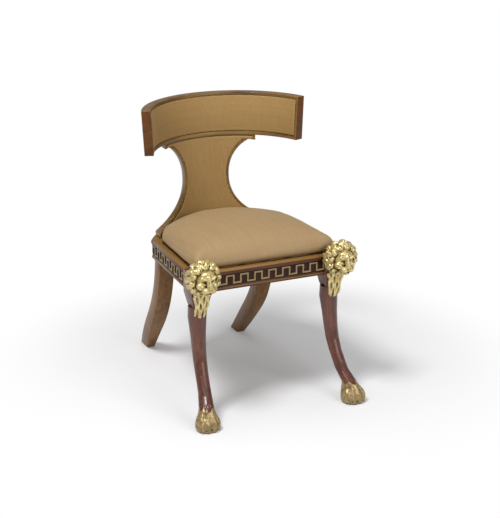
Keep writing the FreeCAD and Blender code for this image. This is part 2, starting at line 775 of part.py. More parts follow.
cushion_low = value(frame_top) + 2 * d.web_thickness + d.fit
cushion_levels = [          # share of the rise, and of the swell outwards
    (0, 0), (0.10, 0.7), (0.24, 1), (0.38, 0.7), (0.50, 0), (0.62, -1.6), (0.74, -5), (0.85, -10.5), (0.94, -18), (1, -29)]
cushion_rings = [cushion_ring(d.cushion_swell * out, cushion_low + (d.cushion_top - cushion_low) * up)
                 for up, out in cushion_levels]
keep(feature("seat_cushion", facet_solid(cushion_rings)))

# Screws

def screw(label, at, direction, length="screw_length"):
    """Screw with the top of its head at a point, and the hole that it sits in."""
    wide, narrow = "screw_head + 2 * dowel_slack", "screw_width + 2 * dowel_slack"
    head = peg(label + "_head", "screw_head", "screw_head_depth", at, direction, "0")
    shank = peg(label + "_shank", "screw_width", length, at, direction, "0")
    sink = peg(label + "_sink", wide, "screw_head_depth + 1", at, direction, "1")
    bore = peg(label + "_bore", narrow, "%s + 1" % length, at, direction, "0")
    return (group(label, [head, shank], "Part::MultiFuse"), group(label + "_hole", [sink, bore], "Part::MultiFuse"))


# Front corner braces, across the angle of front rail and side rails

brace_low = "(%s + brace_margin)" % rail_bottom
brace_high = "(%s - brace_margin)" % rebate_floor
brace_middle = "((%s + %s) / 2)" % (brace_low, brace_high)
rail_back = "(rail_front + rail_thickness)"
brace_line = "(block_inner - block_rear - 1)"
brace_back = "(%s - brace_width)" % brace_line


def meets_side(difference):
    """Depth where the line x - y = difference meets the side rail's inner face."""
    return "((%s - %s) / (1 - %s))" % (side_x("0", "rail_thickness"), difference, side_slope)


near_y, far_y = meets_side(brace_line), meets_side(brace_back)
brace_plan = [
    ("%s + %s" % (brace_back, rail_back), rail_back), ("%s + %s" % (brace_line, rail_back), rail_back),
    (side_x(near_y, "rail_thickness"), near_y), (side_x(far_y, "rail_thickness"), far_y)]
screw_inset = "0.39 * brace_width"
to_front, front_screw_hole = screw(
    "brace_screw_front", ("%s + %s + %s" % (brace_back, rail_back, screw_inset), "%s + %s" % (rail_back, screw_inset),
                          brace_middle), (0, -1, 0))
to_side, side_screw_hole = screw(
    "brace_screw_side", ("%s - %s" % (side_x(far_y, "rail_thickness"), screw_inset), "%s - %s" % (far_y, screw_inset),
                         brace_middle), (1, 0, 0))
seat_screw_y = "(%s + 0.42 * brace_width)" % rail_back
seat_screw, seat_screw_hole = screw(
    "seat_screw", ("%s - brace_width / 2 + %s" % (brace_line, seat_screw_y), seat_screw_y, brace_low), (0, 0, 1),
    "%s - %s - screw_width" % (frame_top, brace_low))
brace = combine("corner_brace_right", "Part::Cut",
                plate("brace", brace_plan, brace_low, "%s - %s" % (brace_high, brace_low)),
                [front_screw_hole, side_screw_hole, seat_screw_hole])
keep(brace, mirrored("corner_brace_left", brace), group("corner_brace_screws", both(to_front) + both(to_side)),
     group("seat_screws", both(seat_screw)),
     combine("seat_frame_front", "Part::Cut", front_member, both(seat_screw_hole)))

# Rear corner blocks, in the angle of side rail and back rail

block_back = "(joint_y - fit)"
block_nose = "(%s - block_length)" % block_back
block_side = "(rail_thickness + fit)"
ring_end = "sqrt((seat_radius - back_thickness) ^ 2 - (joint_y - back_axis_y) ^ 2)"
block_plan = [
    (side_x(block_back, block_side), block_back), (ring_end, block_back),
    ("%s - block_end" % side_x(block_nose, block_side), block_nose), (side_x(block_nose, block_side), block_nose)]
block_screw_y = "(%s + block_length / 2)" % block_nose
block_screw_x = "((%s + %s - block_end) / 2)" % (ring_end, side_x(block_nose, block_side))
block_screw, block_screw_hole = screw(
    "block_screw", (block_screw_x, block_screw_y, brace_middle), (1, 0, 0), "screw_length - 6")
rear_block = combine("rear_corner_block_right", "Part::Cut",
                     plate("rear_block", block_plan, brace_low, "%s - %s" % (brace_high, brace_low)),
                     [block_screw_hole])
keep(rear_block, mirrored("rear_corner_block_left", rear_block), group("rear_block_screws", both(block_screw)))

# Rails with their rebate, dowel holes, mortises and screw holes

right_rail = combine("seat_rail_right", "Part::Cut", side_rail,
                     [rebate, side_holes, back_holes, side_screw_hole, block_screw_hole])
keep(combine("seat_rail_front", "Part::Cut", front_rail, [rebate] + both(front_holes) + both(front_screw_hole)),
     right_rail, mirrored("seat_rail_left", right_rail),
     combine("seat_rail_back", "Part::Cut", back_rail, [rebate, splat_holes] + both(back_holes) + both(mortise)))

# Front legs: square block, shank and lion's paw, carved from one piece

toe_turns = [math.pi * i / 8 for i in range(8)] + [math.pi * (1 + i / 24) for i in range(24)]


def ring(x, y, z, half_x, half_y, toes=0.0):
    """Level outline; its front half, divided more finely, swells into four toes."""
    points = []
    for angle in toe_turns:
        front = max(0, -math.sin(angle))
        groove = 0.5 + 0.5 * math.cos(8 * angle)
        swell = 1 - toes * front * groove
        points.append(Vector(x + half_x * swell * math.cos(angle), y + half_y * swell * math.sin(angle), z))
    return points


block_x = (d.block_inner + d.block_outer) / 2
block_y = (d.block_front + d.block_rear) / 2
knee, shank = d.knee_radius, d.shank_radius
ankle_drop = d.block_bottom - d.ankle_height
shank_levels = [            # share of the drop to the ankle, move outwards and forwards, half width and half depth
    (0, 0, 0, knee + 1, knee + 2), (0.15, 0, -6, knee, knee), (0.34, 1, 1, 0.84 * knee, 0.86 * knee),
    (0.52, 2, 9, 0.76 * knee, 0.80 * knee), (0.66, 3, 19, shank + 1, shank + 2), (0.80, 5, 36, shank, shank + 1),
    (0.92, 8, 56, shank - 0.5, shank + 3), (1, 10, 70, shank - 0.5, shank + 6)]
shank_rings = [ring(block_x + out, block_y - ahead, d.block_bottom - share * ankle_drop, half_x, half_y)
               for share, out, ahead, half_x, half_y in shank_levels]
paw_half = d.paw_width / 2
paw_y = d.paw_front - min(point.y for point in ring(0, 0, 0, paw_half, paw_half, d.toe_depth))
paw_levels = [              # height as a share of the paw's, share of its width and length, toe depth, move back
    (1.35, 0.60, 0.76, 0.4, 15), (1.0, 0.74, 0.84, 0.8, 8), (0.72, 0.93, 0.95, 1, 2), (0.4, 1, 1, 1, 0),
    (0.15, 0.95, 0.98, 1, 1), (0, 0.88, 0.93, 0.8, 2)]
paw_rings = [ring(d.paw_centre_x - 4 * max(0, up - 0.4), paw_y + back, d.paw_height * up,
                  paw_half * wide, paw_half * deep, d.toe_depth * toes)
             for up, wide, deep, toes, back in paw_levels]
leg_block = Part.makeBox(d.block_outer - d.block_inner, d.block_rear - d.block_front, d.rail_top - d.block_bottom,
                         Vector(d.block_inner, d.block_front, d.block_bottom))
carved_leg = leg_block.fuse(facet_solid(shank_rings + paw_rings))

# Chest mane: hanging locks that taper to a tip, on a flat left down the front of the leg

mane_top = d.head_z - 0.7 * d.head_half_height
mane_tip = mane_top - d.mane_drop


def flat_y(z):
    """Front of the leg behind the chest mane: upright over the block, leaning back below it."""
    return d.block_front + max(0, d.block_bottom - z) * d.flat_lean


lean_corners = [Vector(0, d.block_front, d.block_bottom), Vector(0, flat_y(mane_tip), mane_tip),
                Vector(0, flat_y(mane_tip) - d.knee_radius, mane_tip), Vector(0, d.block_front - d.knee_radius, d.block_bottom)]
lean_cut = Part.Face(Part.makePolygon(lean_corners + lean_corners[:1])).extrude(Vector(2 * d.block_outer, 0, 0))
leg_piece = feature("front_leg_carved", carved_leg.cut(lean_cut).removeSplitter())
front_leg = combine("front_leg_right", "Part::Cut", leg_piece, [rebate, front_holes, side_holes])
keep(front_leg, mirrored("front_leg_left", front_leg))


def mane_ring(z, share, locks=3):
    """Level of the chest mane: flat back and round locks in front."""
    back = flat_y(z) - d.fit
    front = []
    for i in range(4 * locks + 1):
        across = i / (2 * locks) - 1
        lock = 1 if i % 4 == 2 else 0.72 if i % 4 == 0 else 0.9
        depth = d.mane_proud * math.sqrt(max(0.1, 1 - across ** 2)) * lock
        front.append(Vector(block_x + d.mane_half_width * share * across, back - depth * (0.35 + 0.65 * share), z))
    return [Vector(front[0].x, back, z)] + front + [Vector(front[-1].x, back, z)]


mane_levels = [(0, 0.92), (0.30, 1), (0.62, 0.78), (0.84, 0.45), (1, 0.12)]
mane_heights = [(mane_top - share * d.mane_drop, width) for share, width in mane_levels]
mane_heights.append((d.block_bottom, 0.83))
mane = facet_solid([mane_ring(z, width) for z, width in sorted(mane_heights, reverse=True)])
# Lion heads: mane and face blocked out in facets, lock by lock

head_back = d.block_front - d.fit


def facing(x, z, depth, half_x, half_z, corners, groove=0.0):
    """Upright outline; every second corner goes in by the groove."""
    points = []
    for i in range(corners):
        angle = 2 * math.pi * (i + 0.5) / corners
        reach = 1 - groove * (i % 2)
        points.append(Vector(x + half_x * reach * math.cos(angle), head_back - d.head_depth * depth,
                             z + half_z * reach * math.sin(angle)))
    return points


def stepped(levels, rise, wide, tall, corners, groove=0.0):
    """Form built forward in steps of (share of the head's depth, share of its size)."""
    rings = [facing(d.head_x, d.head_z + rise, depth, wide * scale, tall * scale, corners, groove)
             for depth, scale in levels]
    return facet_solid(rings)


half_w, half_h = d.head_half_width, d.head_half_height
head_forms = [
    stepped([(0, 0.88), (0.16, 1), (0.36, 0.86)], 0, half_w, half_h, 26, 0.13),
    stepped([(0.1, 0.98), (0.38, 1), (0.56, 0.76)], 0, 0.80 * half_w, 0.82 * half_h, 22, 0.13),
    stepped([(0.3, 1), (0.60, 0.9), (0.74, 0.66), (0.81, 0.44)], 1, 0.62 * half_w, 0.66 * half_h, 12),
    stepped([(0.5, 1), (0.86, 0.94), (0.97, 0.74), (1, 0.42)], -0.27 * half_h, 0.35 * half_w, 0.25 * half_h, 10),
    stepped([(0.5, 1), (0.80, 0.92), (0.89, 0.6)], -0.58 * half_h, 0.27 * half_w, 0.17 * half_h, 8)]
for way in (-1, 1):
    ear_x, ear_z = d.head_x + 0.56 * way * half_w, d.head_z + 0.58 * half_h
    head_forms.append(facet_solid([facing(ear_x, ear_z, 0.40, 0.17 * half_w, 0.17 * half_h, 8),
                                   facing(ear_x + 0.1 * way * half_w, ear_z + 0.1 * half_h, 0.60,
                                          0.09 * half_w, 0.10 * half_h, 8)]))
lion_head = feature("lion_head_right", head_forms[0].fuse(head_forms[1:]).removeSplitter())
keep(lion_head, mirrored("lion_head_left", lion_head))

# The chest mane starts under the chin, so the head's round is cut out of it

head_room = facet_solid([facing(d.head_x, d.head_z, depth, half_w + 2 * d.fit, half_h + 2 * d.fit, 26)
                         for depth in (-1, 1)])
chest_mane = feature("chest_mane_right", mane.cut(head_room))
keep(chest_mane, mirrored("chest_mane_left", chest_mane))

# Check every object, then write one file for each sub-part

doc.recompute()
broken = [item.Label for item in doc.Objects if {"Invalid", "Error"} & set(item.State)]
broken += [item.Label for item in parts if item.Shape.isNull() or not item.Shape.isValid()]
if broken:
    raise RuntimeError("failed: " + ", ".join(broken))
os.makedirs("parts", exist_ok=True)
for item in parts:
    item.Shape.exportStep("parts/%s.step" % item.Label)
print(len(parts), "sub-parts,", sum(len(item.Shape.Solids) for item in parts), "solids")
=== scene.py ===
# Klismos side chair: polished wood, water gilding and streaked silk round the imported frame
import math
import random

import bpy
from mathutils import Matrix, Vector


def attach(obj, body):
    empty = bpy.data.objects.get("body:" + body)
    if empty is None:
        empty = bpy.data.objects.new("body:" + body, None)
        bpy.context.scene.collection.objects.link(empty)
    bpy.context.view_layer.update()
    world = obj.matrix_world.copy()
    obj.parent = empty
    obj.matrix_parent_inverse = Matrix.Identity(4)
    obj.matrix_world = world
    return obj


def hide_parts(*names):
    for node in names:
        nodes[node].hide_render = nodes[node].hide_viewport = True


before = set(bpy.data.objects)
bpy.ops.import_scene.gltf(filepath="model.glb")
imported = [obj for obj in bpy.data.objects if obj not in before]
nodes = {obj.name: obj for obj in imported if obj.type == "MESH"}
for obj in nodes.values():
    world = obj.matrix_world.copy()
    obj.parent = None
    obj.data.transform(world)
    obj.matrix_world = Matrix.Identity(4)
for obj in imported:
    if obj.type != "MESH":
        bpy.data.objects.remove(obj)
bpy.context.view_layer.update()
print("frame loaded:", len(nodes), "nodes")

mm = 0.001
backAxis = Vector((0, -24 * mm, 0))          # upright axis that the back is bowed round


# Small helpers

def linear(hexColour):
    # sRGB hex to the linear values that a socket takes
    channels = [int(hexColour[i:i + 2], 16) / 255 for i in (1, 3, 5)]
    return [c / 12.92 if c <= 0.04045 else ((c + 0.055) / 1.055) ** 2.4 for c in channels] + [1.0]


def addNode(material, kind, inputs=None, **settings):
    # inputs go by socket name or number, and take a value or another node's output
    tree = material.node_tree
    node = tree.nodes.new("ShaderNode" + kind)
    for name, value in settings.items():
        setattr(node, name, value)
    for name, value in (inputs or {}).items():
        if isinstance(value, bpy.types.NodeSocket):
            tree.links.new(value, node.inputs[name])
        else:
            node.inputs[name].default_value = value
    return node


def setStops(ramp, *stops):
    # each stop is a place from 0 to 1 and a hex colour
    elements = ramp.color_ramp.elements
    while len(elements) < len(stops):
        elements.new(0.5)
    for element, (place, colour) in zip(elements, stops):
        element.position = place
        element.color = linear(colour)
    return ramp.outputs[0]


def mixColours(material, factor, first, second):
    # a Mix node's colour sockets are numbers 6 and 7, and its colour output is number 2
    return addNode(material, "Mix", {0: factor, 6: first, 7: second}, data_type="RGBA").outputs[2]


def spread(material, value, low, high, fromLow=0.0, fromHigh=1.0):
    inputs = {"Value": value, "From Min": fromLow, "From Max": fromHigh, "To Min": low, "To Max": high}
    return addNode(material, "MapRange", inputs).outputs[0]


def newMaterial(name):
    material = bpy.data.materials.new(name)
    material.use_nodes = True
    return material, material.node_tree.nodes["Principled BSDF"]


def connect(material, output, socket):
    material.node_tree.links.new(output, socket)


def selectOnly(*pieces):
    bpy.ops.object.select_all(action="DESELECT")
    for piece in pieces:
        piece.select_set(True)
    bpy.context.view_layer.objects.active = pieces[0]


def setMaterial(piece, *materials):
    piece.data.materials.clear()
    for material in materials:
        piece.data.materials.append(material)


def applyModifier(piece, kind, **settings):
    selectOnly(piece)
    modifier = piece.modifiers.new(kind.title(), kind)
    for name, value in settings.items():
        setattr(modifier, name, value)
    bpy.ops.object.modifier_apply(modifier=modifier.name)


def cleanCopy(name, suffix="_finished"):
    # the CAD node's mesh as a new piece, with its loose triangles merged
    piece = bpy.data.objects.new(name + suffix, nodes[name].data.copy())
    bpy.context.scene.collection.objects.link(piece)
    selectOnly(piece)
    bpy.ops.object.mode_set(mode="EDIT")
    bpy.ops.mesh.select_all(action="SELECT")
    bpy.ops.mesh.remove_doubles(threshold=0.01 * mm)
    bpy.ops.mesh.dissolve_limited(angle_limit=math.radians(0.5))
    bpy.ops.object.mode_set(mode="OBJECT")
    return piece


def finish(piece, slot, replaced, *materials):
    setMaterial(piece, *materials)
    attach(piece, "root")
    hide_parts(replaced)
    return piece


# Polished woods

woodLook = {
    "bowRadius": 270 * mm,        # radius of the back at about the middle of its wood
    "grainLength": 150 * mm,      # how far one streak of grain runs
    "grainWidth": 3.2 * mm,
    "cloudLength": 120 * mm,      # broad shading along and across the plank
    "cloudWidth": 38 * mm,
    "poreLength": 8 * mm,
    "poreWidth": 0.5 * mm,        # real pores are 0.2 mm wide, drawn coarser to show
    "filmRoughness": 0.28,
    "edgeWear": 0.45,             # share of the light tone on a rubbed edge
    "lineStrength": 0.8,          # share of its own tone in the painted highlight band
    "dull": ("railGround", "endGrain", "rearLeg", "moulding"),     # woods that take less polish
}
woodTones = {
    # dark streak, body, light streak and pore
    "fruitwood": ("#4A300F", "#70501F", "#8E6E32", "#2A1A08"),
    "mahogany": ("#3E1D15", "#5A3022", "#744634", "#240F09"),
    "endGrain": ("#3A1E0C", "#583416", "#6C4620", "#221206"),
    "rearLeg": ("#56361C", "#805B35", "#966F46", "#2C1B0D"),
    "railGround": ("#180A08", "#29130F", "#3A1F19", "#0E0504"),
    "moulding": ("#341B10", "#4C2A1B", "#66402A", "#1E0E07"),
    "beech": ("#A9845A", "#BC986A", "#CBAB7F", "#86633F"),
}


def grainCoordinates(material, way):
    # coordinates with the grain along X, for a straight member or one bowed round the back's axis
    place = addNode(material, "TexCoord").outputs["Object"]
    if way in "xyz":
        turn = {"x": (0, 0, 0), "y": (0, 0, math.pi / 2), "z": (0, math.pi / 2, 0)}[way]
        return addNode(material, "Mapping", {"Vector": place, "Rotation": turn}).outputs[0]
    shifted = addNode(material, "Mapping", {"Vector": place, "Location": -backAxis}).outputs[0]
    parts = addNode(material, "SeparateXYZ", {"Vector": shifted}).outputs
    angle = addNode(material, "Math", {0: parts["X"], 1: parts["Y"]}, operation="ARCTAN2").outputs[0]
    around = addNode(material, "Math", {0: angle, 1: woodLook["bowRadius"]}, operation="MULTIPLY").outputs[0]
    flat = addNode(material, "CombineXYZ", {"X": parts["X"], "Y": parts["Y"]}).outputs[0]
    out = addNode(material, "VectorMath", {0: flat}, operation="LENGTH").outputs["Value"]
    return addNode(material, "CombineXYZ", {"X": around, "Y": out, "Z": parts["Z"]}).outputs[0]


def stretched(material, grain, length, width):
    scale = (1 / length, 1 / width, 1 / width)
    return addNode(material, "Mapping", {"Vector": grain, "Scale": scale}).outputs[0]


def polishedWood(name, tone, way, roughness=0.34, coat=0.12, highlightBand=None):
    # French-polished wood: streaks of colour, fine dark pores, edges rubbed lighter and a thin clear film.
    # A band of painted highlight may run along it between two heights, where an edge of the moulding catches
    # the light.
    material, shader = newMaterial(name)
    dark, body, light, pore = woodTones[tone]
    grain = grainCoordinates(material, way)
    bands = addNode(material, "TexNoise", {
        "Vector": stretched(material, grain, woodLook["grainLength"], woodLook["grainWidth"]),
        "Scale": 1, "Detail": 6, "Roughness": 0.62, "Distortion": 0.4}).outputs[0]
    cloud = addNode(material, "TexNoise", {
        "Vector": stretched(material, grain, woodLook["cloudLength"], woodLook["cloudWidth"]),
        "Scale": 1, "Detail": 3, "Distortion": 0.9}).outputs[0]
    figure = addNode(material, "Mix", {"Factor": 0.45, "A": bands, "B": cloud}).outputs[0]
    wood = setStops(addNode(material, "ValToRGB", {"Fac": figure}), (0.34, dark), (0.5, body), (0.66, light))
    pores = addNode(material, "TexNoise", {
        "Vector": stretched(material, grain, woodLook["poreLength"], woodLook["poreWidth"]),
        "Scale": 1, "Detail": 2}).outputs[0]
    poreMask = spread(material, pores, 0, 1, 0.58, 0.70)
    poreShade = addNode(material, "Math", {0: poreMask, 1: 0.5}, operation="MULTIPLY").outputs[0]
    porous = mixColours(material, poreShade, wood, linear(pore))
    edge = addNode(material, "NewGeometry").outputs["Pointiness"]
    rubbed = spread(material, edge, 0, woodLook["edgeWear"], 0.53, 0.60)
    finished = mixColours(material, rubbed, porous, linear(light))
    # painted highlight: the wood is lighter in a band between two heights
    if highlightBand:
        low, high, highlightTone = highlightBand
        place = addNode(material, "TexCoord").outputs["Object"]
        height = addNode(material, "SeparateXYZ", {0: place}).outputs["Z"]
        above = addNode(material, "Math", {0: height, 1: low}, operation="GREATER_THAN").outputs[0]
        below = addNode(material, "Math", {0: height, 1: high}, operation="LESS_THAN").outputs[0]
        within = addNode(material, "Math", {0: above, 1: below}, operation="MULTIPLY").outputs[0]
        strength = addNode(material, "Math", {0: within, 1: woodLook["lineStrength"]},
                           operation="MULTIPLY").outputs[0]
        finished = mixColours(material, strength, finished, linear(highlightTone))
    connect(material, finished, shader.inputs["Base Color"])
    connect(material, spread(material, cloud, roughness - 0.06, roughness + 0.10), shader.inputs["Roughness"])
    bump = addNode(material, "Bump", {"Height": poreMask, "Strength": 0.15, "Distance": 0.1 * mm}, invert=True)
    connect(material, bump.outputs[0], shader.inputs["Normal"])
    shader.inputs["Coat Weight"].default_value = coat
    shader.inputs["Specular IOR Level"].default_value = 0.2 if tone in woodLook["dull"] else 0.5
    shader.inputs["Coat Roughness"].default_value = woodLook["filmRoughness"]
    return material


fruitwoodBow = polishedWood("fruitwood_french_polished_bowed", "fruitwood", "bow")
fruitwoodEnd = polishedWood("fruitwood_end_grain", "endGrain", "y", 0.4, 0.05)
fruitwoodUp = polishedWood("fruitwood_french_polished_upright", "fruitwood", "z")
mahoganyUp = polishedWood("mahogany_french_polished", "mahogany", "z", 0.3, 0.3)
rearLegWood = polishedWood("mahogany_rear_leg", "rearLeg", "z", 0.36, 0.15)


def topOf(name):
    return max(vertex.co.z for vertex in nodes[name].data.vertices)


# a band of painted highlight where the moulding's top and the bead's middle catch the light: its lower and
# upper height and its colour
mouldTop, beadTop = topOf("top_moulding_front"), topOf("bottom_bead_front")
mouldTopHighlight = (mouldTop - 4.4 * mm, mouldTop + 1 * mm, "#8C6836")
beadHighlight = (beadTop - 7.5 * mm, beadTop - 3.5 * mm, "#7E5A34")
railWays = ("x", "y", "bow")
railWoods = {way: polishedWood("mahogany_dark_ground_" + way, "railGround", way, 0.45, 0.05, mouldTopHighlight)
             for way in railWays}
mouldWoods = {way: polishedWood("moulding_" + way, "moulding", way, highlightBand=mouldTopHighlight) for way in railWays}
beadWoods = {way: polishedWood("bead_" + way, "moulding", way, highlightBand=beadHighlight) for way in railWays}
beech = polishedWood("beech_planed", "beech", "x", 0.62, 0.0)
# painted shade: the seat frame takes dark end-grain tones for the shadowed gap under the cushion
beechPaintedShade = polishedWood("beech_stained", "endGrain", "x", 0.6, 0.0)

# Gilding

giltLooks = {
    # leaf, pale leaf that is also the painted highlight on sharp edges, brown glaze with painted shade in the
    # hollows, red clay where it is rubbed, and how metallic it is
    "carving": ("#BCA05A", "#F0E2AE", "#3A290C", "#6E4322", 0.7),
    "fret": ("#80683F", "#A48A5A", "#3E2814", "#4E2E1A", 0.3),
    "paw": ("#806A44", "#C0A878", "#2E1C0E", "#4E2A18", 0.5),
}
hollowDepth = 6 * mm                   # how near a wall the old glaze and the painted shade reach


def waterGilding(name, look):
    # leaf burnished on red clay: a painted highlight, paler on the sharp high places, and brown glaze with
    # painted shade in the hollows
    material, shader = newMaterial(name)
    leafTone, paleLeafAndHighlightTone, glazeAndShadeTone, clayTone, metal = giltLooks[look]
    place = addNode(material, "TexCoord").outputs["Object"]
    hollow = addNode(material, "AmbientOcclusion", {"Distance": hollowDepth}, samples=8).outputs["AO"]
    edge = addNode(material, "NewGeometry").outputs["Pointiness"]
    patches = addNode(material, "TexNoise", {
        "Vector": place, "Scale": 90, "Detail": 4, "Roughness": 0.6}).outputs[0]       # clouds of 11 mm
    leaf = setStops(addNode(material, "ValToRGB", {"Fac": patches}), (0.35, leafTone), (0.7, paleLeafAndHighlightTone))
    # painted highlight: sharp edges are painted in the pale leaf tone
    high = mixColours(material, spread(material, edge, 0, 0.9, 0.51, 0.58), leaf, linear(paleLeafAndHighlightTone))
    # painted shade: where ambient occlusion finds a hollow the colour goes to the glaze tone, over the glaze
    # that old gilding holds
    openness = spread(material, hollow, 0, 1, 0.42, 0.92)
    glazedAndShaded = mixColours(material, openness, linear(glazeAndShadeTone), high)
    rub = addNode(material, "TexNoise", {
        "Vector": place, "Scale": 260, "Detail": 5, "Roughness": 0.7}).outputs[0]      # marks of 4 mm
    worn = spread(material, rub, 0, 0.5, 0.66, 0.76)
    connect(material, mixColours(material, worn, glazedAndShaded, linear(clayTone)), shader.inputs["Base Color"])
    connect(material, spread(material, openness, 0.15, metal), shader.inputs["Metallic"])
    connect(material, spread(material, rub, 0.28, 0.48), shader.inputs["Roughness"])
    bump = addNode(material, "Bump", {"Height": rub, "Strength": 0.2, "Distance": 0.3 * mm})
    connect(material, bump.outputs[0], shader.inputs["Normal"])
    return material


gilding = waterGilding("water_gilding_on_clay", "carving")
fretGilding = waterGilding("water_gilding_rubbed", "fret")
pawGilding = waterGilding("water_gilding_worn", "paw")

# Cloths and metal

silkLook = {
    # darker, middle and paler streak of the cloth; the seat's copy is painted lighter and greyer for the light
    # from above, the back's copy darker as painted shade on the upright pads
    "seat": ("#8D724C", "#9B805B", "#AA916B"),
    "back": ("#87693C", "#977746", "#A48552"),
    "streak": 1.3 * mm,           # width of a colour streak in the warp
    "thread": 0.8 * mm,           # real threads are 0.3 mm apart, drawn coarser to show
}


def streakedSilk(name, tones, way):
    # plain-woven slub silk: faint streaks along the warp, a fine weave and a soft sheen
    material, shader = newMaterial(name)
    place = addNode(material, "TexCoord").outputs["Object"]
    width, thread = silkLook["streak"], silkLook["thread"]
    warp = {"y": (1 / width, 4, 4), "z": (1 / width, 1 / width, 4)}[way]
    weft = {"y": (4, 1 / width, 4), "z": (4, 4, 1 / width)}[way]
    streaks = []
    for scale in (warp, weft):
        space = addNode(material, "Mapping", {"Vector": place, "Scale": scale}).outputs[0]
        noise = addNode(material, "TexNoise", {"Vector": space, "Scale": 1, "Detail": 4, "Roughness": 0.7})
        streaks.append(noise.outputs[0])
    woven = addNode(material, "Mix", {"Factor": 0.3, "A": streaks[0], "B": streaks[1]}).outputs[0]
    shade, body, sheen = silkLook[tones]
    cloth = setStops(addNode(material, "ValToRGB", {"Fac": woven}), (0.3, shade), (0.5, body), (0.7, sheen))
    connect(material, cloth, shader.inputs["Base Color"])
    threads = addNode(material, "TexChecker", {"Vector": place, "Scale": 1 / thread}).outputs["Fac"]
    height = addNode(material, "Math", {0: threads, 1: streaks[0]}, operation="ADD").outputs[0]
    bump = addNode(material, "Bump", {"Height": height, "Strength": 0.15, "Distance": 0.12 * mm})
    connect(material, bump.outputs[0], shader.inputs["Normal"])
    shader.inputs["Roughness"].default_value = 0.6
    shader.inputs["Specular IOR Level"].default_value = 0.35
    shader.inputs["Sheen Weight"].default_value = 0.3
    shader.inputs["Sheen Roughness"].default_value = 0.35
    shader.inputs["Sheen Tint"].default_value = linear("#E8D4A8")
    return material


# lit and shaded copies of one silk: the seat's tones are painted lighter, the back's darker
seatSilkPaintedLit = streakedSilk("slub_silk_seat", "seat", "y")
backSilkPaintedShade = streakedSilk("slub_silk_back", "back", "z")


def wovenJute(name):
    # coarse brown yarn over and under, with a few dark fibres
    yarn = 2.4 * mm
    material, shader = newMaterial(name)
    place = addNode(material, "TexCoord").outputs["Object"]
    cross = addNode(material, "TexChecker", {"Vector": place, "Scale": 1 / yarn}).outputs["Fac"]
    fibre = addNode(material, "TexNoise", {"Vector": place, "Scale": 900, "Detail": 4}).outputs[0]
    yarns = mixColours(material, cross, linear("#8E7850"), linear("#A68E62"))
    dark = spread(material, fibre, 0, 0.7, 0.52, 0.68)
    connect(material, mixColours(material, dark, yarns, linear("#5E4A2C")), shader.inputs["Base Color"])
    bump = addNode(material, "Bump", {"Height": cross, "Strength": 0.6, "Distance": 0.4 * mm})
    connect(material, bump.outputs[0], shader.inputs["Normal"])
    shader.inputs["Roughness"].default_value = 0.9
    return material


def turnedSteel(name):
    # steel turned on a lathe: a grey metal with a few duller oil marks
    material, shader = newMaterial(name)
    place = addNode(material, "TexCoord").outputs["Object"]
    marks = addNode(material, "TexNoise", {"Vector": place, "Scale": 350, "Detail": 3}).outputs[0]
    tone = setStops(addNode(material, "ValToRGB", {"Fac": marks}), (0.35, "#6E6C6A"), (0.65, "#A2A2A4"))
    connect(material, tone, shader.inputs["Base Color"])
    connect(material, spread(material, marks, 0.25, 0.5), shader.inputs["Roughness"])
    shader.inputs["Metallic"].default_value = 1
    return material


jute = wovenJute("jute_webbing_woven")
steel = turnedSteel("steel_turned")
print("materials made")

# Rigid pieces: the CAD shape with its edges softened

edgeWidths = {
    "crest_rail": 1.2 * mm,
    "splat_frame": 1.0 * mm,
    "seat_rail": 0.8 * mm,
    "top_moulding": 0.5 * mm,
    "bottom_bead": 0.5 * mm,
    "key_fret": 0.4 * mm,
    "rear_leg": 1.5 * mm,
}
sharpEdge = math.radians(35)


def softened(name, slot, material):
    piece = cleanCopy(name)
    width = next(size for start, size in edgeWidths.items() if name.startswith(start))
    applyModifier(piece, "BEVEL", width=width, segments=2, limit_method="ANGLE", angle_limit=sharpEdge)
    selectOnly(piece)
    bpy.ops.object.shade_smooth_by_angle(angle=sharpEdge)
    return finish(piece, slot, name, material)


crest = softened("crest_rail", "polished_fruitwood", fruitwoodBow)
crest.data.materials.append(fruitwoodEnd)
for face in crest.data.polygons:
    # the ends show end grain, which takes up more polish and is darker
    around = Vector((face.center.y - backAxis.y, -face.center.x, 0)).normalized()
    if abs(face.normal.dot(around)) > 0.9:
        face.material_index = 1
softened("splat_frame", "polished_fruitwood", fruitwoodUp)
for side in ("left", "right"):
    softened("rear_leg_" + side, "mahogany", rearLegWood)
for place, way in (("front", "x"), ("back", "bow"), ("left", "y"), ("right", "y")):
    softened("seat_rail_" + place, "dark_rail_wood", railWoods[way])
    softened("top_moulding_" + place, "moulding_wood", mouldWoods[way])
    softened("bottom_bead_" + place, "moulding_wood", beadWoods[way])
    softened("key_fret_" + place, "gilt_wood", fretGilding)
print("rigid pieces softened")

# Upholstery

cushionLook = {
    "voxel": 5 * mm,
    "smoothing": 6,
    "slack": 1.5 * mm,            # the cloth starts this much inside its finished surface
    "pressure": 1.6,
    "frames": 16,
    "cap": 6 * mm,                # farthest that a point may move
    "tack": 3 * mm,               # height of the edge that is tacked to the seat frame
    "pulled": 8,                  # smoothing passes that draw the cover tight
    "settled": 10 * mm,           # the stuffing has sunk this much towards the back
    "settledBack": (-90 * mm, 230 * mm),            # where the sinking begins, and how far on it is full
    "settledUp": (462 * mm, 50 * mm),
}
padLook = {
    "voxel": 2.5 * mm,
    "smoothing": 5,
    "overlap": 7 * mm,            # how far the splat's cover reaches over the front of its frame
    "roll": 1.2 * mm,             # depth in which it rolls back over the border
    "band": 5 * mm,               # heights at which the splat's width is taken
    "bandReach": 2.5,             # how many bands on either side are evened out
    "pulled": 4,
}


def remeshed(name, look):
    piece = cleanCopy(name, "_upholstered")
    applyModifier(piece, "REMESH", mode="VOXEL", voxel_size=look["voxel"])
    applyModifier(piece, "SMOOTH", factor=0.5, iterations=look["smoothing"])
    selectOnly(piece)
    bpy.ops.object.shade_smooth()
    return piece


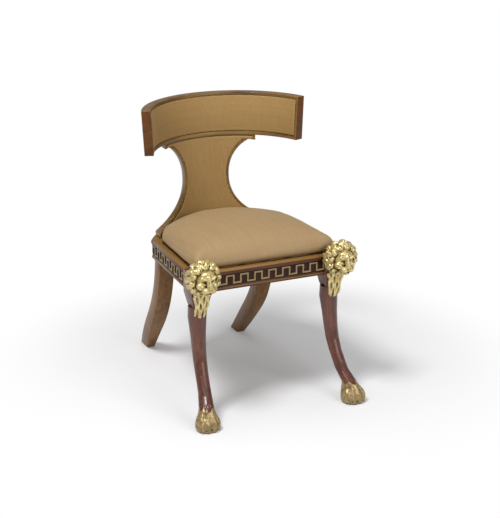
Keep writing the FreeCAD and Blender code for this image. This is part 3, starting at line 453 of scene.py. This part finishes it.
def swell(piece, look):
    # air pressure fills the cover, while its lower edge stays tacked to the frame
    applyModifier(piece, "DISPLACE", strength=-look["slack"], mid_level=0)
    start = [vertex.co.copy() for vertex in piece.data.vertices]
    low = min(point.z for point in start)
    tacked = piece.vertex_groups.new(name="tacked")
    tacked.add([i for i, point in enumerate(start) if point.z < low + look["tack"]], 1.0, "REPLACE")
    cloth = piece.modifiers.new("Cover", "CLOTH")
    cloth.settings.use_pressure = True
    cloth.settings.uniform_pressure_force = look["pressure"]
    cloth.settings.effector_weights.gravity = 0
    cloth.settings.vertex_group_mass = tacked.name
    for frameNumber in range(1, look["frames"] + 1):
        bpy.context.scene.frame_set(frameNumber)
    selectOnly(piece)
    bpy.ops.object.modifier_apply(modifier=cloth.name)
    bpy.context.scene.frame_set(1)
    for vertex, place in zip(piece.data.vertices, start):
        move = vertex.co - place
        if move.length > look["cap"]:
            vertex.co = place + move.normalized() * look["cap"]
    piece.vertex_groups.clear()
    applyModifier(piece, "SMOOTH", factor=0.5, iterations=look["pulled"])


def clamp(value):
    return min(max(value, 0), 1)


def settle(piece, look):
    # the crown is lower where the sitter's weight comes, from the middle to the back
    (firstBack, overBack), (firstUp, overUp) = look["settledBack"], look["settledUp"]
    for vertex in piece.data.vertices:
        share = clamp((vertex.co.y - firstBack) / overBack) * clamp((vertex.co.z - firstUp) / overUp)
        vertex.co.z -= look["settled"] * share * share * (3 - 2 * share)


def drawOver(pad, frameName, look):
    # the cover of the splat is drawn over the front of its frame, out to the edge
    def polar(place):
        flat = place - backAxis
        return math.hypot(flat.x, flat.y), math.atan2(flat.x, flat.y)

    # the front leans, so its radius is taken at the foot and at the head
    points = [vertex.co for vertex in nodes[frameName].data.vertices]
    foot, head = min(point.z for point in points), max(point.z for point in points)
    footFront = min(polar(point)[0] for point in points if point.z < foot + 2 * mm)
    headFront = min(polar(point)[0] for point in points if point.z > head - 2 * mm)
    widest = {}
    for vertex in pad.data.vertices:
        band = round(vertex.co.z / look["band"])
        widest[band] = max(widest.get(band, 0), abs(polar(vertex.co)[1]))

    def halfAngle(z):
        # the half-width at a height, evened out so that the new edge runs as smoothly as the old one
        total = weight = 0
        for band, width in widest.items():
            near = max(1 - abs(z / look["band"] - band) / look["bandReach"], 0)
            total += near * width
            weight += near
        return total / weight if weight else 0

    for vertex in pad.data.vertices:
        out, turn = polar(vertex.co)
        half = halfAngle(vertex.co.z)
        front = footFront + (headFront - footFront) * (vertex.co.z - foot) / (head - foot)
        share = clamp((front - out) / look["roll"])
        if share and half:
            turn *= 1 + share * look["overlap"] / out / half
            vertex.co.x = backAxis.x + out * math.sin(turn)
            vertex.co.y = backAxis.y + out * math.cos(turn)
    applyModifier(pad, "SMOOTH", factor=0.5, iterations=look["pulled"])


for name in ("crest_pad", "splat_pad"):
    pad = remeshed(name, padLook)
    if name == "splat_pad":
        drawOver(pad, "splat_frame", padLook)
    finish(pad, "seat_fabric", name, backSilkPaintedShade)

cushion = remeshed("seat_cushion", cushionLook)
settle(cushion, cushionLook)
swell(cushion, cushionLook)
applyModifier(cushion, "SUBSURF", levels=1, render_levels=1)
selectOnly(cushion)
bpy.ops.object.shade_smooth()
finish(cushion, "seat_fabric", "seat_cushion", seatSilkPaintedLit)
print("upholstery made")

# Carved and gilded pieces: forms are blocked together, fused on a fine grid and then gouged

random.seed(7)


def ball(place, radii, turn=(0, 0, 0)):
    bpy.ops.mesh.primitive_uv_sphere_add(segments=28, ring_count=16, radius=1, location=place, rotation=turn)
    piece = bpy.context.active_object
    piece.scale = radii
    return piece


def strandSet(name, strands):
    # tapered locks of carved hair, each a list of (point, radius)
    bpy.ops.curve.primitive_nurbs_path_add()
    curve = bpy.context.active_object
    curve.name = name
    curve.matrix_world = Matrix.Identity(4)
    curve.data.splines.clear()
    curve.data.bevel_depth = 1.0
    curve.data.bevel_resolution = 2
    curve.data.resolution_u = 6
    curve.data.use_fill_caps = True
    for strand in strands:
        spline = curve.data.splines.new("NURBS")
        spline.points.add(len(strand) - 1)
        for point, (place, radius) in zip(spline.points, strand):
            point.co = (*place, 1)
            point.radius = radius
        spline.order_u = 3
        spline.use_endpoint_u = True
    selectOnly(curve)
    bpy.ops.object.convert(target="MESH")
    return bpy.context.active_object


def fuse(name, pieces, voxel, smoothing):
    selectOnly(*pieces)
    bpy.ops.object.join()
    piece = bpy.context.active_object
    piece.name = name
    bpy.ops.object.transform_apply(location=True, rotation=True, scale=True)
    applyModifier(piece, "REMESH", mode="VOXEL", voxel_size=voxel)
    applyModifier(piece, "SMOOTH", factor=0.5, iterations=smoothing)
    selectOnly(piece)
    bpy.ops.object.shade_smooth()
    return piece


def gouge(piece, cuts):
    # each cut is a place, a radius and a depth: points near the place go back, most at its middle
    for vertex in piece.data.vertices:
        for centre, radius, depth in cuts:
            distance = (vertex.co - centre).length
            if distance < radius:
                vertex.co.y += depth * (1 - (distance / radius) ** 2) ** 2


headLook = {
    "centre": Vector((221, -281, 440)) * mm,
    "nod": 10,                    # degrees that the face looks down
    "voxel": 1.15 * mm,
    # all below is in millimetres and degrees, from the middle of the head, facing -Y
    "middle": [                   # place and radii of the forms on the middle line
        ((0, 7, 3), (38, 20, 41)), ((0, -12, 8), (29, 26, 30)), ((0, -24, 26), (22, 14, 12)),
        ((0, -38, -28), (11, 9, 6)), ((0, -30, -22), (18, 12, 10)), ((0, -50, -5), (10.5, 5, 6)),
        ((0, -34, 22), (8.5, 8, 11))],
    "pairs": [                    # place, radii and turn of the brows, eyes, cheeks, muzzle and ears
        ((12.5, -34, 20), (13, 6.5, 4.6), 24), ((14, -31, 9), (5, 4, 3.6), 0),
        ((19.5, -27, -6), (14, 12.5, 11.5), 28), ((9.2, -44, -13), (12, 10.5, 9.5), 0),
        ((33, -10, 33), (8, 7, 9), 25)],
    "nose": [((0, -33, 24), 7.5), ((0, -39, 15), 7.5), ((0, -45, 4), 8.5), ((0, -48, -4), 9)],
    # locks in each ring, their thickness, then radius and depth at the root, twice along the way and at the tip
    "rings": [(13, 4.4, (35, -17, 41, -19, 46, -13, 47, -4)), (13, 5.6, (34, -13, 46, -9, 50, 2, 49, 13)),
              (13, 5.4, (40, 3, 48, 8, 49, 18, 45, 26))],
    "lockTaper": (0.6, 1, 1, 0.7),
    "hairs": ((-1, 1.0), (1, 0.62)),               # each lock is a thick and a thin hair side by side
    "hairApart": 0.075,
    "tall": (2, 1.03),            # the rings are this much above the middle, and higher than wide
    "swing": 0.10,
    "swingTurn": 2.2,
    "swingChance": 0.03,
    "droop": 0.05,
    # first place, stride to the next, radius and depth of the gouge, on both sides
    "folds": [
        ((8.5, -38, 8), (3.4, 0.8, 0.8), 5.5, 9),              # slit of the eye
        ((14, -44, -5), (1.6, 3, -4.5), 5, 4),                 # fold beside the muzzle
        ((27, -27, 12), (1, 1, -6), 5, 2)],                    # edge of the mane
    "foldSteps": 5,
    "dents": [((4.6, -54, -7), 3, 3), ((5, -37, 30), 5, 3)],   # nostril, and furrow of the brow
    "mouth": ((0, -49, -22.5), (2.5, 1.8, 0.6), 4.6, 8),       # from the middle outwards
    "mouthSteps": 6,
    "lip": ((0, -53, -14), 3, 3),                              # parting of the upper lip
}


def lionHead(name, side):
    look = headLook
    centre = look["centre"].copy()
    centre.x *= side
    nod = Matrix.Rotation(math.radians(look["nod"]), 4, "X")

    def at(x, y, z):
        return centre + nod @ Vector((side * x * mm, y * mm, z * mm))

    pieces = [ball(at(*place), [r * mm for r in radii]) for place, radii in look["middle"]]
    for (x, y, z), radii, turn in look["pairs"]:
        for way in (1, -1):
            lean = (0, -math.radians(turn) * way * side, 0)
            pieces.append(ball(at(way * x, y, z), [r * mm for r in radii], lean))
    strands = [[(at(*place), radius * mm) for place, radius in look["nose"]]]
    lift, tall = look["tall"]
    for ring, (count, thick, spots) in enumerate(look["rings"]):
        for i in range(count):
            turn = 2 * math.pi * (i + 0.5 * (ring % 2)) / count
            swing = look["swing"] * (1 if (i + ring) % 2 else -1)
            swing += random.uniform(-look["swingChance"], look["swingChance"])
            for hair, share in look["hairs"]:
                path = []
                for step, taper in enumerate(look["lockTaper"]):
                    r, y = spots[2 * step], spots[2 * step + 1]
                    a = turn + hair * look["hairApart"] + swing * math.sin(look["swingTurn"] * step)
                    a -= look["droop"] * step * math.cos(turn)
                    point = at(r * math.cos(a), y, lift + r * tall * math.sin(a))
                    path.append((point, thick * taper * share * mm))
                strands.append(path)
    pieces.append(strandSet(name + "_hair", strands))
    head = fuse(name, pieces, look["voxel"], 2)
    cuts = []
    for way in (1, -1):
        for step in range(look["foldSteps"]):
            for first, stride, radius, depth in look["folds"]:
                x, y, z = (start + step * add for start, add in zip(first, stride))
                cuts.append((at(way * x, y, z), radius * mm, depth * mm))
        for (x, y, z), radius, depth in look["dents"]:
            cuts.append((at(way * x, y, z), radius * mm, depth * mm))
    (x, y, z), (across, inward, down), radius, depth = look["mouth"]
    for step in range(-look["mouthSteps"], look["mouthSteps"] + 1):
        corner = at(x + step * across, y + abs(step) * inward, z + abs(step) * down)
        cuts.append((corner, radius * mm, depth * mm))
    place, radius, depth = look["lip"]
    cuts.append((at(*place), radius * mm, depth * mm))
    gouge(head, cuts)
    return head


chestLook = {
    "x": 217 * mm,
    "front": -252.3 * mm,
    "bend": 342 * mm,             # below this height the flat behind the mane leans back
    "lean": 0.28,
    "voxel": 1.15 * mm,
    # all below is in millimetres
    # locks in the row, half its width, first height, length, how far they stand out and their thickness
    "rows": [(5, 22, 374, 64, 1, 4.2), (5, 25, 384, 44, 5, 4.4), (5, 30, 393, 24, 8, 5.2)],
    "taper": ((0, 0.8), (0.25, 1.05), (0.5, 1.0), (0.75, 0.95), (1, 0.75)),
    "wave": 2.4,
    "waveTurn": 5.5,
    "shorter": 0.2,               # share that the outermost locks are shorter by
    "closer": 0.12,               # share that the locks draw together by at their tips
    "lower": 0.4,                 # share that the tips lie closer to the flat
    "rounded": (1, 3),            # added height of the middle locks, and what the outermost lose of it
    # share of the way across, set-back, height and thickness
    "ground": ((1, 2, 393, 11), (1, 5, 352, 9.5), (0.9, 11, 322, 6)),
    "groundAcross": (-11, 0, 11),
}


def chestMane(name, side):
    # rows of wavy locks with blunt tips that overlap from the chin down, the lowest laid first
    look = chestLook
    middle = side * look["x"]
    inner, outer = look["rounded"]
    strands = []
    for row, (count, half, top, length, out, thick) in enumerate(look["rows"]):
        for i in range(count):
            across = (i + 0.5) / count * 2 - 1
            reach = length * (1 - look["shorter"] * across ** 2)
            wave = (1 if (i + row) % 2 else -1) * look["wave"]
            path = []
            for share, taper in look["taper"]:
                z = (top - reach * share) * mm
                seat = look["front"] + max(0, look["bend"] - z) * look["lean"]
                bent = wave * math.sin(look["waveTurn"] * share)
                x = middle + side * (across * half * (1 - look["closer"] * share) + bent) * mm
                y = seat - (out * (1 - look["lower"] * share) + inner - outer * across ** 2) * mm
                path.append((Vector((x, y, z)), thick * taper * mm))
            strands.append(path)
    for across in look["groundAcross"]:                        # the flat ground that the locks lie on
        path = []
        for share, back, height, thick in look["ground"]:
            place = Vector((middle + across * share * mm, look["front"] + back * mm, height * mm))
            path.append((place, thick * mm))
        strands.append(path)
    return fuse(name, [strandSet(name + "_locks", strands)], look["voxel"], 1)


pawLook = {
    "x": 239,
    "y": -335,
    "voxel": 1.3 * mm,
    "giltTop": 62 * mm,           # the gilding ends in a scalloped line round the ankle
    "scallop": 4 * mm,
    # all below is in millimetres from the middle of the paw
    "pads": [((0, 8, 17), (31, 27, 17)), ((-4, 14, 38), (22, 24, 24))],
    "toes": [(-23, 9, 5), (-8.5, 10.5, 0), (8, 10.5, 0), (22.5, 9, 4)],       # across, thickness and set-back
    # share across, then offset, depth, height, share of the set-back and share of the thickness
    "toePath": [(0.3, -4, 24, 84, 0, 0.35), (0.5, -2, 9, 62, 0, 0.5), (0.72, 0, -8, 46, 0, 0.75),
                (0.98, 0, -20, 32, 1, 1.3), (1.1, 0, -27, 17, 1, 1.2), (1.14, 0, -28, 7, 1, 0.7)],
    "clawPath": [(1.1, -30, 17, 4), (1.14, -36, 10, 3), (1.16, -37, 3.5, 1.3)],
    "channels": [-16, -0.5, 15.5],
    "channelSteps": 22,
    "channelFoot": (1.05, -38, 6),                 # share across, depth and height at the floor
    "channelRun": (-0.6, 36, 66),                  # what is added to them up to the ankle
    "channelRadius": 5.5,
    "channelDepth": 2.6,
    "channelFade": 0.4,
}
blockLook = {
    "x": 217.5 * mm,
    "y": -220 * mm,
    "taperTop": 380 * mm,         # below this height the block runs in to the shank
    "taper": 8.5 * mm,
    "bevel": 1.2 * mm,
}
legJoin = 340 * mm                     # the square block above this height keeps its sharp arrises


def cutCopy(name, suffix, height, keepTop):
    piece = cleanCopy(name, suffix)
    selectOnly(piece)
    bpy.ops.object.mode_set(mode="EDIT")
    bpy.ops.mesh.select_all(action="SELECT")
    bpy.ops.mesh.bisect(plane_co=(0, 0, height), plane_no=(0, 0, 1),
                        clear_inner=keepTop, clear_outer=not keepTop, use_fill=True)
    bpy.ops.object.mode_set(mode="OBJECT")
    return piece


def taperedBlock(source, side):
    # the square block, its lower end run in to the shank and its arrises softened
    look = blockLook
    block = cutCopy(source, "_block", legJoin, True)
    selectOnly(block)
    bpy.ops.object.mode_set(mode="EDIT")
    bpy.ops.mesh.select_all(action="SELECT")
    bpy.ops.mesh.bisect(plane_co=(0, 0, look["taperTop"]), plane_no=(0, 0, 1))
    bpy.ops.object.mode_set(mode="OBJECT")
    for vertex in block.data.vertices:
        if vertex.co.z < legJoin + 5 * mm:
            vertex.co.x -= math.copysign(look["taper"], vertex.co.x - side * look["x"])
            vertex.co.y -= math.copysign(look["taper"], vertex.co.y - look["y"])
    applyModifier(block, "BEVEL", width=look["bevel"], segments=2, limit_method="ANGLE",
                  angle_limit=math.radians(40))
    return block


def frontLeg(name, source, side):
    look = pawLook
    shank = cutCopy(source, "_low", legJoin + 1 * mm, False)
    block = taperedBlock(source, side)

    def at(x, y, z):
        return Vector((side * (look["x"] + x) * mm, (look["y"] + y) * mm, z * mm))

    pieces = [shank] + [ball(at(*place), [r * mm for r in radii]) for place, radii in look["pads"]]
    strands = []
    for across, thick, back in look["toes"]:
        strands.append([(at(across * share + offset, depth + back * seat, height), thick * taper * mm)
                        for share, offset, depth, height, seat, taper in look["toePath"]])
        strands.append([(at(across * share, depth + back, height), radius * mm)
                        for share, depth, height, radius in look["clawPath"]])
    pieces.append(strandSet(name + "_toes", strands))
    leg = fuse(name, pieces, look["voxel"], 2)
    cuts = []
    for channel in look["channels"]:                     # the grooves between the toes, from the floor up
        for step in range(look["channelSteps"]):
            rise = step / (look["channelSteps"] - 1)
            share, depth, height = (foot + run * rise
                                    for foot, run in zip(look["channelFoot"], look["channelRun"]))
            fade = 1 - look["channelFade"] * rise
            cuts.append((at(channel * share, depth, height), look["channelRadius"] * mm,
                         look["channelDepth"] * mm * fade))
    gouge(leg, cuts)
    for vertex in leg.data.vertices:
        vertex.co.z = max(vertex.co.z, 0)
    setMaterial(leg, mahoganyUp, pawGilding)
    for face in leg.data.polygons:
        turn = math.atan2(face.center.y - look["y"] * mm - 14 * mm, face.center.x - side * look["x"] * mm)
        if face.center.z < look["giltTop"] + look["scallop"] * math.cos(6 * turn):
            face.material_index = 1
    setMaterial(block, mahoganyUp)
    selectOnly(leg, block)
    bpy.ops.object.join()
    bpy.ops.object.shade_smooth_by_angle(angle=math.radians(50))
    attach(leg, "root")
    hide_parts(source)
    return leg


for side, word in ((1, "right"), (-1, "left")):
    finish(lionHead("lion_head_carved_" + word, side), "gilt_wood", "lion_head_" + word, gilding)
    finish(chestMane("chest_mane_carved_" + word, side), "gilt_wood", "chest_mane_" + word, gilding)
    frontLeg("front_leg_carved_" + word, "front_leg_" + word, side)
print("carved pieces made")

# Inner pieces: braces, blocks, seat frame, webbing, boards, dowels and screws

for name, node in nodes.items():
    if node.hide_render:
        continue
    if "screws" in name:
        setMaterial(node, steel)
    elif name.startswith("webbing"):
        setMaterial(node, jute)
    # the seat frame is painted dark as shade
    elif name.startswith("seat_frame"):
        setMaterial(node, beechPaintedShade)
    else:
        setMaterial(node, beech)
print("inner pieces finished")

# Stage, lights and camera

stageLook = {
    "size": 40,
    "middle": Vector((0.10, 0.04, 0)),
    "shadowReach": 0.42,          # round the chair the floor is lit, and farther out it turns to plain white
    "whiteReach": 0.95,
    "lift": 0.10,                 # camera rays see the lit floor this much lighter
    "ambient": 0.30,              # what the white room gives everything but the camera
}
bpy.ops.mesh.primitive_plane_add(size=stageLook["size"], location=(0, 0, 0))
floor = bpy.context.active_object
floor.name = "studio_floor"
floorMaterial, floorShader = newMaterial("studio_floor_white")
floorShader.inputs["Base Color"].default_value = linear("#E1E1E2")
floorShader.inputs["Roughness"].default_value = 0.95
floorShader.inputs["Specular IOR Level"].default_value = 0.05
floorShader.inputs["Emission Color"].default_value = (1, 1, 1, 1)
floorPlace = addNode(floorMaterial, "TexCoord").outputs["Object"]
floorDistance = addNode(floorMaterial, "VectorMath", {0: floorPlace, 1: stageLook["middle"]},
                        operation="DISTANCE").outputs["Value"]
farOut = addNode(floorMaterial, "MapRange", {
    "Value": floorDistance, "From Min": stageLook["shadowReach"], "From Max": stageLook["whiteReach"]},
    interpolation_type="SMOOTHSTEP").outputs[0]
rays = addNode(floorMaterial, "LightPath").outputs
seen = addNode(floorMaterial, "Math", {0: rays["Is Camera Ray"], 1: rays["Is Glossy Ray"]},
               operation="MAXIMUM").outputs[0]
lift = addNode(floorMaterial, "Math", {0: rays["Is Camera Ray"], 1: stageLook["lift"]},
               operation="MULTIPLY").outputs[0]
connect(floorMaterial, lift, floorShader.inputs["Emission Strength"])
plainWhite = addNode(floorMaterial, "Emission", {"Color": (1, 1, 1, 1), "Strength": 1.0})
share = addNode(floorMaterial, "Math", {0: seen, 1: farOut}, operation="MULTIPLY").outputs[0]
blend = addNode(floorMaterial, "MixShader", {0: share, 1: floorShader.outputs[0], 2: plainWhite.outputs[0]})
connect(floorMaterial, blend.outputs[0], floorMaterial.node_tree.nodes["Material Output"].inputs["Surface"])
setMaterial(floor, floorMaterial)

world = bpy.data.worlds.new("studio")
bpy.context.scene.world = world
world.use_nodes = True
background = world.node_tree.nodes["Background"]
background.inputs["Color"].default_value = (1, 1, 1, 1)
rays = addNode(world, "LightPath").outputs
direct = addNode(world, "Math", {0: rays["Is Camera Ray"], 1: rays["Is Transmission Ray"]},
                 operation="MAXIMUM").outputs[0]
connect(world, spread(world, direct, stageLook["ambient"], 1.0), background.inputs["Strength"])

softBoxes = {
    # place and size in metres, and power in watts
    "key_softbox": ((-1.4, -0.9, 3.2), 0.9, 88),
    "fill_softbox": ((0.9, -3.0, 1.9), 1.8, 34),
    "top_softbox": ((0.2, 0.5, 3.4), 2.0, 14),
}
for name, (place, size, power) in softBoxes.items():
    bpy.ops.object.light_add(type="AREA", location=place)
    lamp = bpy.context.active_object
    lamp.name = name
    lamp.data.energy = power
    lamp.data.size = size
    lamp.rotation_euler = (Vector((0, 0, 0.4)) - Vector(place)).to_track_quat("-Z", "Y").to_euler()

view = {
    "azimuth": math.radians(24.68),
    "elevation": math.radians(18.7),
    "distance": 4.14,
    "aim": Vector((0, -0.115, 0.4195)),
    "focal": 98.87,
}
level = math.cos(view["elevation"])
towards = Vector((-math.sin(view["azimuth"]) * level, -math.cos(view["azimuth"]) * level,
                  math.sin(view["elevation"])))
bpy.ops.object.camera_add(location=view["aim"] + towards * view["distance"])
camera = bpy.context.active_object
camera.name = "studio_camera"
camera.rotation_euler = (-towards).to_track_quat("-Z", "Y").to_euler()
camera.data.lens = view["focal"]
camera.data.sensor_fit = "HORIZONTAL"
camera.data.sensor_width = 36
bpy.context.scene.camera = camera
bpy.context.scene.view_settings.view_transform = "Standard"
print("stage, lights and camera set")
